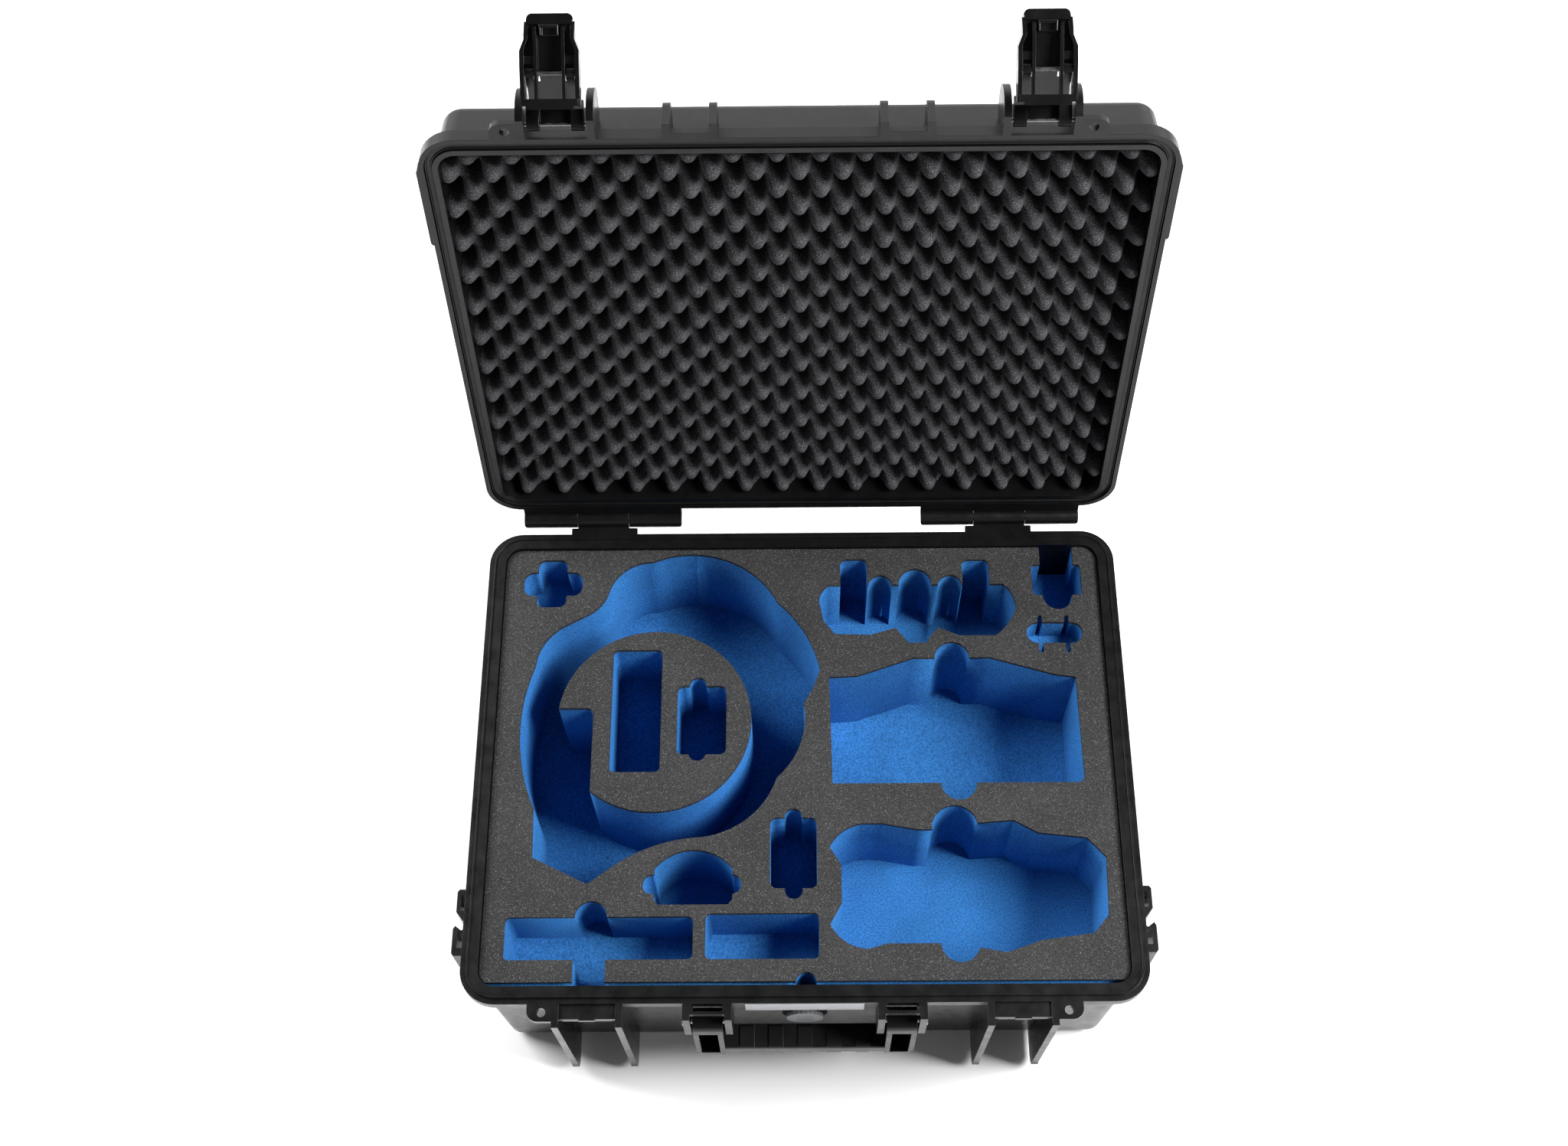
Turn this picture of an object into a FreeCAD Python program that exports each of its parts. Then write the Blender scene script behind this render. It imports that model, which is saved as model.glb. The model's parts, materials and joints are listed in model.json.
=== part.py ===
import FreeCAD, Part
import math
import os
from FreeCAD import Vector

# A hard carrying case for a folding drone, standing on the floor with its lid open.
# The moulded base holds a cut foam insert with a pocket for each piece of the kit. The lid
# swings on two pinned hinges, and carries a rubber seal, a foam lining and two draw latches.
# A carrying handle hangs between two brackets on the front, under a name plate and an air valve.
# Millimetres. The origin is the middle of the underside. +X is right, +Y is towards the hinges
# and +Z is up. The lid and the latches are drawn closed, then turned to where they rest.

# The case
case_width = 500.0
case_depth = 382.0
base_height = 163.0
lid_height = 52.0
wall = 4.0
draft = 7.0  # how far each base wall leans in, from the rim to the floor
lid_draft = 3.0
floor_round = 12.0
lid_round = 10.0
parting_gap = 0.4  # between the two rims when the lid is shut

# The rims: each inset is measured inwards from the outer edge of the rim
rim_corner = 26.0
rim_height = 10.0
wall_inset = 9.0
opening_inset = 13.0
ledge_drop = 1.0
tongue_inset = 4.3
tongue_thick = 1.3
tongue_rise = 1.0
groove_inset = 3.6
groove_width = 5.4
groove_depth = 6.0
seal_fit = 0.25
seal_height = 4.6
seal_bead = 1.0

# Hinges
hinge_offset = 13.0  # behind the rim
hinge_x = 160.0
barrel_radius = 6.5
barrel_span = 127.0
knuckle_span = 41.0
knuckle_gap = 0.5
hinge_pin_radius = 2.5
running_fit = 0.05
lid_open_angle = 100.0

# Latches, their ears on the lid and their fins on the base
latch_x = 156.5
latch_ear_gap = 1.45  # between a latch's side and the ear beside it
latch_fin_gap = 1.7
ear_thick = 5.0
ear_radius = 20.0
ear_forward = 3.0
ear_up = 16.0
fin_thick = 5.0
fin_reach = 17.0
fin_taper = 4.5
latch_pin_radius = 1.5
latch_pin_forward = 8.0
latch_pin_up = 5.0
link_length = 36.0
link_lean = 11.0  # outwards from upright when shut
link_swing = 89.0
lever_swing = 41.0
lever_width = 37.6
lever_wall = 2.8
lever_skin = 2.5
lever_tail = 36.0  # from the middle pin to the finger tab
lever_head = 20.0  # from the middle pin to the hook
lever_tip_width = 32.0
tab_width = 29.2
link_side_gap = 0.5
link_arm = 5.2
link_boss_radius = 4.2
lever_rib = 2.0
catch_side_gap = 0.8  # how much narrower than the lever the catch's lip is, on each side
catch_reach = 10.5
catch_thick = 4.5

# Padlock eyes
eye_reach = 12.5
eye_thick = 5.0
eye_hole_radius = 3.25
eye_out = 10.0  # from the middle of the fin beside it
eye_forward = 6.0
eye_plate = 20.5  # from the middle of the fin to the plate's end
eye_corner = 8.0

# Handle, its brackets and the plate between them
bracket_inner_x = 55.3
bracket_outer_x = 85.5
bracket_rib = 5.3
bracket_reach = 12.3
bracket_drop = 44.0
bracket_top_reach = 8.0
bracket_top_thick = 5.5
bracket_slot = 5.4
handle_pin_radius = 3.0
handle_pin_forward = 6.5
handle_pin_drop = 22.0
handle_hub_radius = 8.5
handle_side_gap = 1.5
handle_length = 55.0  # from the pivot to the middle of the grip
handle_depth = 19.0
arm_wall = 4.0
grip_height = 18.0
grip_core_height = 11.0
grip_core_depth = 9.0
grip_notch = 3.5
grip_bands = 11
apron_width = 104.0
apron_height = 19.0
plate_width = 86.0
plate_height = 17.5
plate_thick = 1.2
plate_sink = 0.4
plate_edge = 0.4
valve_drop = 50.0
valve_radius = 13.75
valve_stem_radius = 7.0
valve_flange = 3.0

# Strap hooks on the base's sides and pads on the lid's sides
hook_reach = 6.0
hook_height = 30.0
hook_back_y = -105.0
hook_front_y = -155.0
hook_gap = 5.0
hook_slot = 3.0
pad_reach = 2.2
pad_back_y = -98.0
pad_front_y = -165.0

# Foam
foam_gap = 0.4
foam_top_drop = 3.5
skin_thick = 3.0
skin_setback = 3.0
pad_thick = 20.0
lid_foam_drop = 2.5
lid_foam_gap = 0.5

# Depth of each pocket below the foam's face
headset_depth = 95.0
goggles_depth = 95.0
drone_depth = 88.0
remote_depth = 75.0
spare_depth = 75.0
battery_depth = 60.0
lead_depth = 55.0
adapter_depth = 45.0
charger_depth = 40.0
small_depth = 26.0

# Sizes and places worked out from the sizes above
ear_pitch = lever_width + ear_thick + 2 * latch_ear_gap
fin_pitch = lever_width + fin_thick + 2 * latch_fin_gap
catch_width = lever_width - 2 * catch_side_gap
eye_x = latch_x + fin_pitch / 2 + eye_out
eye_end_x = latch_x + fin_pitch / 2 + eye_plate
half_w = case_width / 2
half_d = case_depth / 2
lid_plane = base_height + parting_gap
lid_top = base_height + lid_height
hinge_y = half_d + hinge_offset
hinge_z = base_height
latch_pin_y = -half_d - latch_pin_forward
latch_pin_z = lid_plane + latch_pin_up
middle_pin_y = latch_pin_y - link_length * math.sin(math.radians(link_lean))
middle_pin_z = latch_pin_z - link_length * math.cos(math.radians(link_lean))
handle_pin_y = -half_d - handle_pin_forward
handle_pin_z = base_height - handle_pin_drop
plate_top = base_height - ledge_drop - 0.6
skin_top = base_height - foam_top_drop
block_top = skin_top - skin_thick
pad_top = wall + foam_gap + pad_thick


# Shapes used throughout
def block(x0, x1, y0, y1, z0, z1):
    return Part.makeBox(x1 - x0, y1 - y0, z1 - z0, Vector(x0, y0, z0))


def rod_x(x0, x1, y, z, radius):
    return Part.makeCylinder(radius, x1 - x0, Vector(x0, y, z), Vector(1, 0, 0))


def rod_y(x, y0, y1, z, radius):
    return Part.makeCylinder(radius, y1 - y0, Vector(x, y0, z), Vector(0, 1, 0))


def rod_z(x, y, z0, z1, radius):
    return Part.makeCylinder(radius, z1 - z0, Vector(x, y, z0), Vector(0, 0, 1))


def face(points, place):
    # A step of two numbers is a straight run, and one of four is an arc through its first two
    edges = []
    here = points[0]
    for step in points[1:] + [points[0]]:
        there = step[-2:]
        if len(step) == 4:
            edges.append(Part.Arc(place(*here), place(*step[:2]), place(*there)).toShape())
        elif math.dist(here, there) > 1e-6:
            edges.append(Part.LineSegment(place(*here), place(*there)).toShape())
        here = there
    return Part.Face(Part.Wire(edges))


def plan(points, z0, z1):
    # An outline in X and Y, raised from z0 to z1
    return face(points, lambda x, y: Vector(x, y, z0)).extrude(Vector(0, 0, z1 - z0))


def side(points, x0, x1):
    # An outline in Y and Z, drawn out from x0 to x1
    return face(points, lambda y, z: Vector(x0, y, z)).extrude(Vector(x1 - x0, 0, 0))


def rounded(x0, x1, y0, y1, r):
    # The outline of a rectangle with round corners
    s = r * (1 - math.sqrt(0.5))
    return [
        (x0 + r, y0),
        (x1 - r, y0),
        (x1 - s, y0 + s, x1, y0 + r),
        (x1, y1 - r),
        (x1 - s, y1 - s, x1 - r, y1),
        (x0 + r, y1),
        (x0 + s, y1 - s, x0, y1 - r),
        (x0, y0 + r),
        (x0 + s, y0 + s, x0 + r, y0),
    ]


def rim_plate(inset, z0, z1):
    # A slab with the rim's outline, set in all round
    outline = rounded(-half_w + inset, half_w - inset, -half_d + inset, half_d - inset, rim_corner - inset)
    return plan(outline, z0, z1)


def rim_ring(inset, width, z0, z1):
    return rim_plate(inset, z0, z1).cut(rim_plate(inset + width, z0 - 1, z1 + 1))


def tub(inset0, z0, inset1, z1):
    # A solid with leaning walls between two outlines that share their corner centres
    wires = []
    for inset, z in ((inset0, z0), (inset1, z1)):
        x, y = half_w - inset, half_d - inset
        wires.append(face(rounded(-x, x, -y, y, rim_corner - inset), lambda u, v: Vector(u, v, z)).OuterWire)
    return Part.makeLoft(wires, True, True)


def round_level(shape, z, radius):
    # Rounds the edges that lie all at one height
    edges = [e for e in shape.Edges if abs(e.BoundBox.ZMin - z) < 0.01 and abs(e.BoundBox.ZMax - z) < 0.01]
    return shape.makeFillet(radius, edges)


def wall_lean(z):
    # How far the base wall has leaned in at a height
    return draft * (base_height - z) / base_height


def outer_wall_y(z):
    return -half_d + wall_inset + wall_lean(z)


def mirrored(shape):
    return shape.mirror(Vector(0, 0, 0), Vector(1, 0, 0))


def turned(shape, y, z, angle):
    copy = shape.copy()
    copy.rotate(Vector(0, y, z), Vector(1, 0, 0), angle)
    return copy


def opened(shape):
    return turned(shape, hinge_y, hinge_z, -lid_open_angle)


def link_at_rest(shape):
    return opened(turned(shape, latch_pin_y, latch_pin_z, -link_swing))


def lever_at_rest(shape):
    return link_at_rest(turned(shape, middle_pin_y, middle_pin_z, -lever_swing))


# Base shell
def base_fin(x):
    top = base_height - ledge_drop
    front = -half_d - fin_reach
    outline = [
        (-half_d + wall_inset + 1, top),
        (front, top),
        (front + fin_taper, 22),
        (front + fin_taper + 3, 10, front + fin_taper + 12, 7),
        (outer_wall_y(7) + 2, 7),
    ]
    return side(outline, x - fin_thick / 2, x + fin_thick / 2)


def base_catch():
    # The ledge that the latch hooks under, with its lip and a small tab in the middle
    top = base_height - 3.0
    front = -half_d - catch_reach
    x0, x1 = latch_x - fin_pitch / 2, latch_x + fin_pitch / 2
    lip = block(latch_x - catch_width / 2, latch_x + catch_width / 2, front, front + 2, top - 6.3, top)
    ledge = block(x0, x1, front, -half_d + 1, top - catch_thick, top)
    tab = block(latch_x - 6, latch_x + 6, front - 1.2, front + 1, top - 3, top + 1)
    return ledge.fuse([lip, tab])


def padlock_eye(z0, z1):
    y0 = -half_d - eye_reach
    s = eye_corner * (1 - math.sqrt(0.5))
    outline = [
        (latch_x + fin_pitch / 2, y0),
        (eye_end_x - eye_corner, y0),
        (eye_end_x - s, y0 + s, eye_end_x, y0 + eye_corner),
        (eye_end_x, -half_d + 1),
        (latch_x + fin_pitch / 2, -half_d + 1),
    ]
    hole = rod_z(eye_x, -half_d - eye_forward, z0 - 1, z1 + 1, eye_hole_radius)
    return plan(outline, z0, z1).cut(hole)


def handle_bracket():
    top = base_height - ledge_drop
    front = -half_d - bracket_reach
    low = base_height - bracket_drop
    pieces = []
    for x in (bracket_inner_x, bracket_outer_x):
        outline = [
            (-half_d + wall_inset + 1, top),
            (front, top),
            (front, low),
            (front + 4, low - 6, outer_wall_y(low - 8) + 1, low - 8),
        ]
        pieces.append(side(outline, x - bracket_rib / 2, x + bracket_rib / 2))
    x0 = bracket_inner_x + bracket_rib / 2
    x1 = bracket_outer_x - bracket_rib / 2
    plate = block(x0, x1, -half_d - bracket_top_reach, -half_d + 1, top - bracket_top_thick, top)
    slot_back = -half_d - 0.3
    slot = plan(rounded(x0 + 0.6, x1 - 0.6, slot_back - bracket_slot, slot_back, 2.6), 0, top + 1)
    bores = rod_x(x0 - 10, x1 + 10, handle_pin_y, handle_pin_z, handle_pin_radius)
    return pieces[0].fuse([pieces[1], plate]).cut(slot).cut(bores)


def strap_hooks():
    # Two hooks that face each other, so that a strap's loop slips in between them
    x0, x1 = half_w - wall_inset - 1, half_w + hook_reach
    top = base_height - ledge_drop - 1
    middle = (hook_back_y + hook_front_y) / 2
    back = [
        (x0, hook_back_y),
        (x1 - 1.5, hook_back_y),
        (x1, hook_back_y - 2),
        (x1, middle + hook_gap + 3),
        (half_w + 0.5, middle + 1),
        (x0, middle + 1),
    ]
    front = [
        (x0, middle - 1),
        (half_w + 1.5, middle - 6),
        (x1, middle - hook_gap / 2),
        (x1 + 1.5, middle - hook_gap),
        (x1 + 1.5, hook_front_y + 2),
        (x1, hook_front_y),
        (x0, hook_front_y),
    ]
    hooks = plan(back, top - hook_height, top).fuse(plan(front, top - hook_height, top))
    slot_x0 = half_w - wall_inset + 2
    slots = block(slot_x0, half_w + hook_slot, middle + 9, hook_back_y - 5, 0, top + 1)
    slots = slots.fuse(block(slot_x0, half_w + hook_slot + 1, hook_front_y + 6, middle - 6, 0, top + 1))
    return hooks.cut(slots)


def base_hinge():
    # The knuckle that holds the pin, on a plate from the rim, with two gussets under it
    x0, x1 = hinge_x - knuckle_span / 2, hinge_x + knuckle_span / 2
    y0 = half_d - 1
    top = base_height - ledge_drop
    arm = side([(y0, top), (y0, top - 7), (hinge_y, hinge_z - barrel_radius), (hinge_y, top)], x0, x1)
    knuckle = rod_x(x0, x1, hinge_y, hinge_z, barrel_radius)
    shelf = block(x0 - 7, x1 + 5, y0, hinge_y - barrel_radius - 1, top - 6, top)
    gussets = []
    for x in (x0 - 6, x1):
        toe = (-outer_wall_y(110) - 1, 110)
        outline = [(y0 - wall_inset, top), (hinge_y - barrel_radius - 1, top - 5), toe]
        gussets.append(side(outline, x, x + 4))
    bore = rod_x(x0 - 1, x1 + 1, hinge_y, hinge_z, hinge_pin_radius)
    return arm.fuse([knuckle, shelf] + gussets).cut(bore)


def base_shell():
    ledge = base_height - ledge_drop
    outside = round_level(tub(wall_inset + draft, 0, wall_inset, base_height), 0, floor_round)
    parts = [rim_plate(0, base_height - rim_height, ledge)]
    for x in (latch_x - fin_pitch / 2, latch_x + fin_pitch / 2):
        parts.append(base_fin(x))
    parts += [base_catch(), padlock_eye(ledge - eye_thick, ledge)]
    parts += [handle_bracket(), strap_hooks(), base_hinge()]
    parts += [mirrored(p) for p in parts[1:]]
    apron_low = base_height - apron_height
    x = apron_width / 2
    parts.append(block(-x, x, -half_d, -half_d + wall_inset + 1, apron_low, ledge))
    valve_z = base_height - valve_drop
    boss_y = -half_d + valve_flange + 2
    parts.append(rod_y(0, boss_y, outer_wall_y(valve_z) + 1, valve_z, valve_radius + 3))
    land = rim_ring(tongue_inset, opening_inset - tongue_inset, ledge - 1, base_height)
    tongue = rim_ring(tongue_inset, tongue_thick, ledge - 1, base_height + tongue_rise)
    shell = outside.fuse(parts + [land, tongue])
    inner = opening_inset + draft
    inside = round_level(tub(inner, wall, opening_inset, base_height + 0.001), wall, floor_round - wall)
    above = rim_plate(opening_inset, base_height, base_height + 5)
    shell = shell.cut(inside.fuse(above))
    label = plate_seat()
    stem = rod_y(0, -half_d, -half_d + 25, valve_z, valve_stem_radius)
    sockets = [rod_z(x, y, -1, 2.2, 15) for x in (-175, 175) for y in (-120, 120)]
    return shell.cut([label, stem] + sockets).removeSplitter()


def plate_seat():
    # The name plate's shallow seat in the apron
    x = plate_width / 2
    return block(-x, x, -half_d - 1, -half_d + plate_sink, plate_top - plate_height, plate_top)


def name_plate():
    x = plate_width / 2
    front = -half_d + plate_sink - plate_thick
    low = plate_top - plate_height
    outline = [
        (front + plate_thick, plate_top),
        (front + plate_edge, plate_top),
        (front, plate_top - plate_edge),
        (front, low + plate_edge),
        (front + plate_edge, low),
        (front + plate_thick, low),
    ]
    return side(outline, -x, x)


# Air valve: a knurled disc outside, a membrane behind its slots, a ring seal and a nut inside
def valve_pieces():
    z = base_height - valve_drop
    seat = -half_d + valve_flange + 2
    inner = outer_wall_y(z) + wall
    ring_thick = 1.2
    seal = rod_y(0, seat - ring_thick, seat, z, valve_radius - 2)
    seal = seal.cut(rod_y(0, seat - 5, seat + 5, z, valve_stem_radius + 0.2))
    body_back = seat - ring_thick
    body = rod_y(0, body_back - valve_flange, body_back, z, valve_radius)
    stem = rod_y(0, body_back - 1, inner + 4, z, valve_stem_radius - running_fit)
    cup = rod_y(0, body_back - valve_flange - 1, body_back - 1.2, z, valve_radius - 3)
    vent = rod_y(0, body_back - 2, inner + 5, z, valve_stem_radius - 3)
    body = body.fuse(stem).cut(cup).cut(vent)
    for turn in range(24):
        notch = rod_y(0, body_back - valve_flange - 1, body_back + 0.01, z + valve_radius + 0.5, 0.9)
        notch.rotate(Vector(0, 0, z), Vector(0, 1, 0), turn * 15.0)
        body = body.cut(notch)
    membrane = rod_y(0, body_back - 1.6, body_back - 1.2, z, valve_radius - 3.5)
    cap = rod_y(0, body_back - valve_flange, body_back - 1.6, z, valve_radius - 3.05)
    for step in (-2, -1, 0, 1, 2):
        cap = cap.cut(block(-6, 6, body_back - 9, body_back + 1, z + step * 3.2 - 0.5, z + step * 3.2 + 0.5))
    nut_y = inner + 0.6
    nut = rod_y(0, nut_y, nut_y + 3, z, valve_stem_radius + 4)
    nut = nut.cut(rod_y(0, nut_y - 1, nut_y + 4, z, valve_stem_radius - running_fit))
    pieces = {"valve_seal": seal, "valve_body": body, "valve_membrane": membrane}
    pieces.update({"valve_cap": cap, "valve_nut": nut})
    return pieces


# Hinge and handle pins
def hinge_pin():
    x0 = hinge_x - barrel_span / 2 + 3
    return rod_x(x0, x0 + barrel_span - 6, hinge_y, hinge_z, hinge_pin_radius)


def handle_pin():
    x0 = bracket_inner_x - bracket_rib / 2
    x1 = bracket_outer_x + bracket_rib / 2
    pin = rod_x(x0, x1, handle_pin_y, handle_pin_z, handle_pin_radius)
    return pin.fuse(rod_x(x1, x1 + 1, handle_pin_y, handle_pin_z, handle_pin_radius + 1.5))


# Lid shell
def lid_ear(x):
    y, z = -half_d - ear_forward, lid_plane + ear_up
    disc = rod_x(x - ear_thick / 2, x + ear_thick / 2, y, z, ear_radius)
    keep = block(x - 10, x + 10, -half_d - 60, -half_d + wall_inset + 1, lid_plane, lid_top)
    return disc.common(keep).cut(rod_x(x - 10, x + 10, latch_pin_y, latch_pin_z, latch_pin_radius))


def lid_rib(x):
    front, top, r = -half_d - bracket_reach + 0.8, lid_plane + 28, 10
    s = r * (1 - math.sqrt(0.5))
    back = -half_d + wall_inset + 1
    crown = (front + s, top - s, front + r, top)
    outline = [(back, lid_plane), (front, lid_plane), (front, top - r), crown, (back, top)]
    return side(outline, x - bracket_rib / 2, x + bracket_rib / 2)


def lid_hinge():
    # Two barrels on a web from the rim, with the base's knuckle between them
    x0, x1 = hinge_x - barrel_span / 2, hinge_x + barrel_span / 2
    crest = (hinge_y, hinge_z + barrel_radius)
    outline = [(half_d - 1, lid_plane), (half_d - 1, lid_plane + 9), crest, (hinge_y, lid_plane)]
    web = side(outline, x0, x1)
    body = web.fuse(rod_x(x0, x1, hinge_y, hinge_z, barrel_radius))
    back = hinge_y + barrel_radius
    corners = plan(rounded(x0, x1, half_d - 20, back, 8), hinge_z - 20, hinge_z + 20)
    body = body.common(corners)
    half = knuckle_span / 2 + knuckle_gap
    room = rod_x(hinge_x - half, hinge_x + half, hinge_y, hinge_z, barrel_radius + knuckle_gap)
    room = room.fuse(block(hinge_x - half, hinge_x + half, hinge_y - 4, back + 1, hinge_z - 9, hinge_z + 9))
    bore = rod_x(x0 + 2.5, x1 - 2.5, hinge_y, hinge_z, hinge_pin_radius + running_fit)
    return body.cut(room).cut(bore)


def lid_side_pad():
    x0, x1 = half_w - 2, half_w + pad_reach
    outline = [(x0, pad_front_y), (x1 - 1, pad_front_y), (x1, pad_front_y + 2), (x1, pad_back_y - 2)]
    outline += [(x1 - 1, pad_back_y), (x0, pad_back_y)]
    return plan(outline, lid_plane + 0.8, lid_plane + rim_height)


def lid_shell():
    outside = round_level(tub(wall_inset, lid_plane, wall_inset + lid_draft, lid_top), lid_top, lid_round)
    ring = rim_plate(0, lid_plane, lid_plane + rim_height)
    parts = [lid_ear(latch_x - ear_pitch / 2), lid_ear(latch_x + ear_pitch / 2)]
    parts += [padlock_eye(lid_plane, lid_plane + eye_thick), lid_hinge(), lid_side_pad()]
    for x in (bracket_inner_x, bracket_outer_x):
        parts.append(lid_rib(x))
    x0, x1 = bracket_inner_x, bracket_outer_x
    parts.append(block(x0, x1, -half_d - 4, -half_d + 1, lid_plane, lid_plane + 4))
    parts += [mirrored(p) for p in parts]
    shell = outside.fuse([ring] + parts)
    inner_top = lid_top - wall
    inside = tub(opening_inset, lid_plane - 0.001, opening_inset + lid_draft, inner_top)
    inside = round_level(inside, inner_top, lid_round - wall)
    shell = shell.cut(inside)
    shell = shell.cut(rim_ring(groove_inset, groove_width, lid_plane - 1, lid_plane + groove_depth))
    studs = [rod_z(x, y, lid_top - 1, lid_top + 1.6, 14) for x in (-175, 175) for y in (-120, 120)]
    panel = plan(rounded(-120, 120, -70, 70, 10), lid_top - 0.8, lid_top + 1)
    shell = shell.cut(panel).fuse(studs)
    return shell.cut([latch_pin(), mirrored(latch_pin())]).removeSplitter()


def lid_seal():
    # A rubber ring in the groove, with a bead along each edge
    top = lid_plane + groove_depth
    inset = groove_inset + seal_fit
    width = groove_width - 2 * seal_fit
    ring = rim_ring(inset, width, top - seal_height + seal_bead, top)
    outer_bead = rim_ring(inset, 1.1, top - seal_height, top - seal_height + seal_bead)
    inner_bead = rim_ring(inset + width - 1.1, 1.1, top - seal_height, top - seal_height + seal_bead)
    return ring.fuse([outer_bead, inner_bead])


def lid_foam():
    low, high = lid_plane + lid_foam_drop, lid_top - wall - lid_foam_gap
    lean = lid_draft / (lid_top - wall - lid_plane)
    inset = opening_inset + lid_foam_gap
    slab = tub(inset + lean * lid_foam_drop, low, inset + lid_draft, high)
    return round_level(slab, high, lid_round - wall)


def latch_pin():
    half = ear_pitch / 2 + ear_thick / 2
    return rod_x(latch_x - half, latch_x + half, latch_pin_y, latch_pin_z, latch_pin_radius)


# Latch link: two arms that bend forward round the catch, joined by a plate on the outside
def latch_link():
    y1, z1, y2, z2 = latch_pin_y, latch_pin_z, middle_pin_y, middle_pin_z
    r = link_boss_radius
    front = y2 - r + 0.2
    arm_line = [
        (y1 + r, z1),
        (y1, z1 + r, y1 - r, z1 + 1.5),
        (front, z1 - 7),
        (front, z2),
        (y2, z2 - r, y2 + r, z2),
        (y2 + 2.6, z2 + 9),
        (y2 + 2.6, z1 - 9),
        (y1 + 2.5, z1 - 3.4),
    ]
    outer = lever_width / 2 - lever_wall - link_side_gap
    bores = []
    for y, z in ((y1, z1), (y2, z2)):
        bores.append(rod_x(latch_x - 30, latch_x + 30, y, z, latch_pin_radius + running_fit))
    pieces = []
    for x0 in (latch_x - outer, latch_x + outer - link_arm):
        pieces.append(side(arm_line, x0, x0 + link_arm))
    cheek_line = arm_line[:3] + [(front, z1 - 11), (y2 + 2.6, z1 - 11)] + arm_line[6:]
    for x0 in (latch_x - outer - 3, latch_x + outer - 1):
        pieces.append(side(cheek_line, x0, x0 + 4))
    plate_line = [
        (y1 - r, z1 + 1.5),
        (front, z1 - 7),
        (front, z2 + 9),
        (front + 2.2, z2 + 9),
        (front + 2.2, z1 - 6),
        (y1 - r + 2.6, z1 + 0.5),
    ]
    pieces.append(side(plate_line, latch_x - outer, latch_x + outer))
    # A narrower tongue of the plate reaches down between the lever's ribs, almost to the middle pin
    x = outer - link_arm - 2 * link_side_gap - lever_rib
    pieces.append(block(latch_x - x, latch_x + x, front, front + 2.2, z2 + 2.8, z2 + 10))
    return pieces[0].fuse(pieces[1:]).cut(bores)


# Latch lever: an open channel with a hook at its head and a finger tab at its tail
def latch_lever():
    y, z = middle_pin_y, middle_pin_z
    wide, narrow = lever_width / 2, lever_tip_width / 2
    skin_in = y - link_boss_radius - 0.6
    skin_out = skin_in - lever_skin
    tail, head = z - lever_tail, z + lever_head
    inner = y + 5.5

    def half_walls(sign):
        outer = [(wide, head), (wide, z - 14), (narrow, z - 21), (narrow, tail + 4)]
        inner_line = [
            (narrow - lever_wall, tail + 4),
            (narrow - lever_wall, z - 22),
            (wide - lever_wall, z - 15),
            (wide - lever_wall, head),
        ]
        outline = [(latch_x + sign * x, v) for x, v in outer + inner_line]
        wall_plan = face(outline, lambda u, v: Vector(u, skin_out, v)).extrude(Vector(0, inner - skin_out, 0))
        side_line = [
            (skin_out + 5, head),
            (inner, head),
            (inner, z - 4),
            (inner - 4, z - 24),
            (skin_out + 3, tail + 4),
            (skin_out, tail + 4),
            (skin_out, z + 6),
        ]
        return wall_plan.common(side(side_line, latch_x - 30, latch_x + 30))

    tab = tab_width / 2
    skin_line = [
        (-wide, z - 1),
        (wide, z - 1),
        (wide, z - 14),
        (narrow, z - 21),
        (narrow, tail + 4),
        (tab, tail + 4),
        (tab - 1, tail, tab - 4, tail - 1),
        (4 - tab, tail - 1),
        (1 - tab, tail, -tab, tail + 4),
        (-narrow, tail + 4),
        (-narrow, z - 21),
        (-wide, z - 14),
    ]
    skin = face(skin_line, lambda u, v: Vector(latch_x + u, skin_out, v))
    skin = skin.extrude(Vector(0, lever_skin, 0))
    lip = block(latch_x - tab, latch_x + tab, skin_out, skin_out + 5, tail + 3, tail + 5.5)
    hook_nib = block(latch_x - 15, latch_x + 15, y + 7.6, y + 9.4, head - 4, head + 2)
    cross = block(latch_x - wide + 1, latch_x + wide - 1, y + 2.8, y + 9.4, head - 4.5, head)
    ribs = []
    arm_inner = wide - lever_wall - link_side_gap - link_arm
    for sign in (-1, 1):
        x_rib = latch_x + sign * (arm_inner - link_side_gap - lever_rib / 2)
        rib_line = [
            (skin_in - 0.5, z + 2),
            (y + 0.4, z + 6),
            (y + 1.2, head - 2),
            (y + 5.5, head - 2),
            (y + 4.5, z - 4),
            (y + 2, z - 28),
            (skin_in - 0.5, z - 30),
        ]
        ribs.append(side(rib_line, x_rib - lever_rib / 2, x_rib + lever_rib / 2))
        a, b = sorted((x_rib, latch_x + sign * (wide - 1)))
        ribs.append(block(a, b, skin_in - 0.5, y + 2, z - 11, z - 6))
    lever = skin.fuse([half_walls(-1), half_walls(1), lip, cross, hook_nib] + ribs)
    return lever.cut(rod_x(latch_x - 30, latch_x + 30, y, z, latch_pin_radius))


def lever_pin():
    half = lever_width / 2
    return rod_x(latch_x - half, latch_x + half, middle_pin_y, middle_pin_z, latch_pin_radius)


def latch_clip():
    # A spring clip under the finger tab, in a slot between the ribs
    skin_in = middle_pin_y - link_boss_radius - 0.6
    tail = middle_pin_z - lever_tail
    frame = block(latch_x - 6.2, latch_x + 6.2, skin_in, skin_in + 6.5, tail + 6, tail + 13)
    window = block(latch_x - 4.8, latch_x + 4.8, skin_in + 2, skin_in + 10, tail + 7.4, tail + 14)
    return frame.cut(window)


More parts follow.
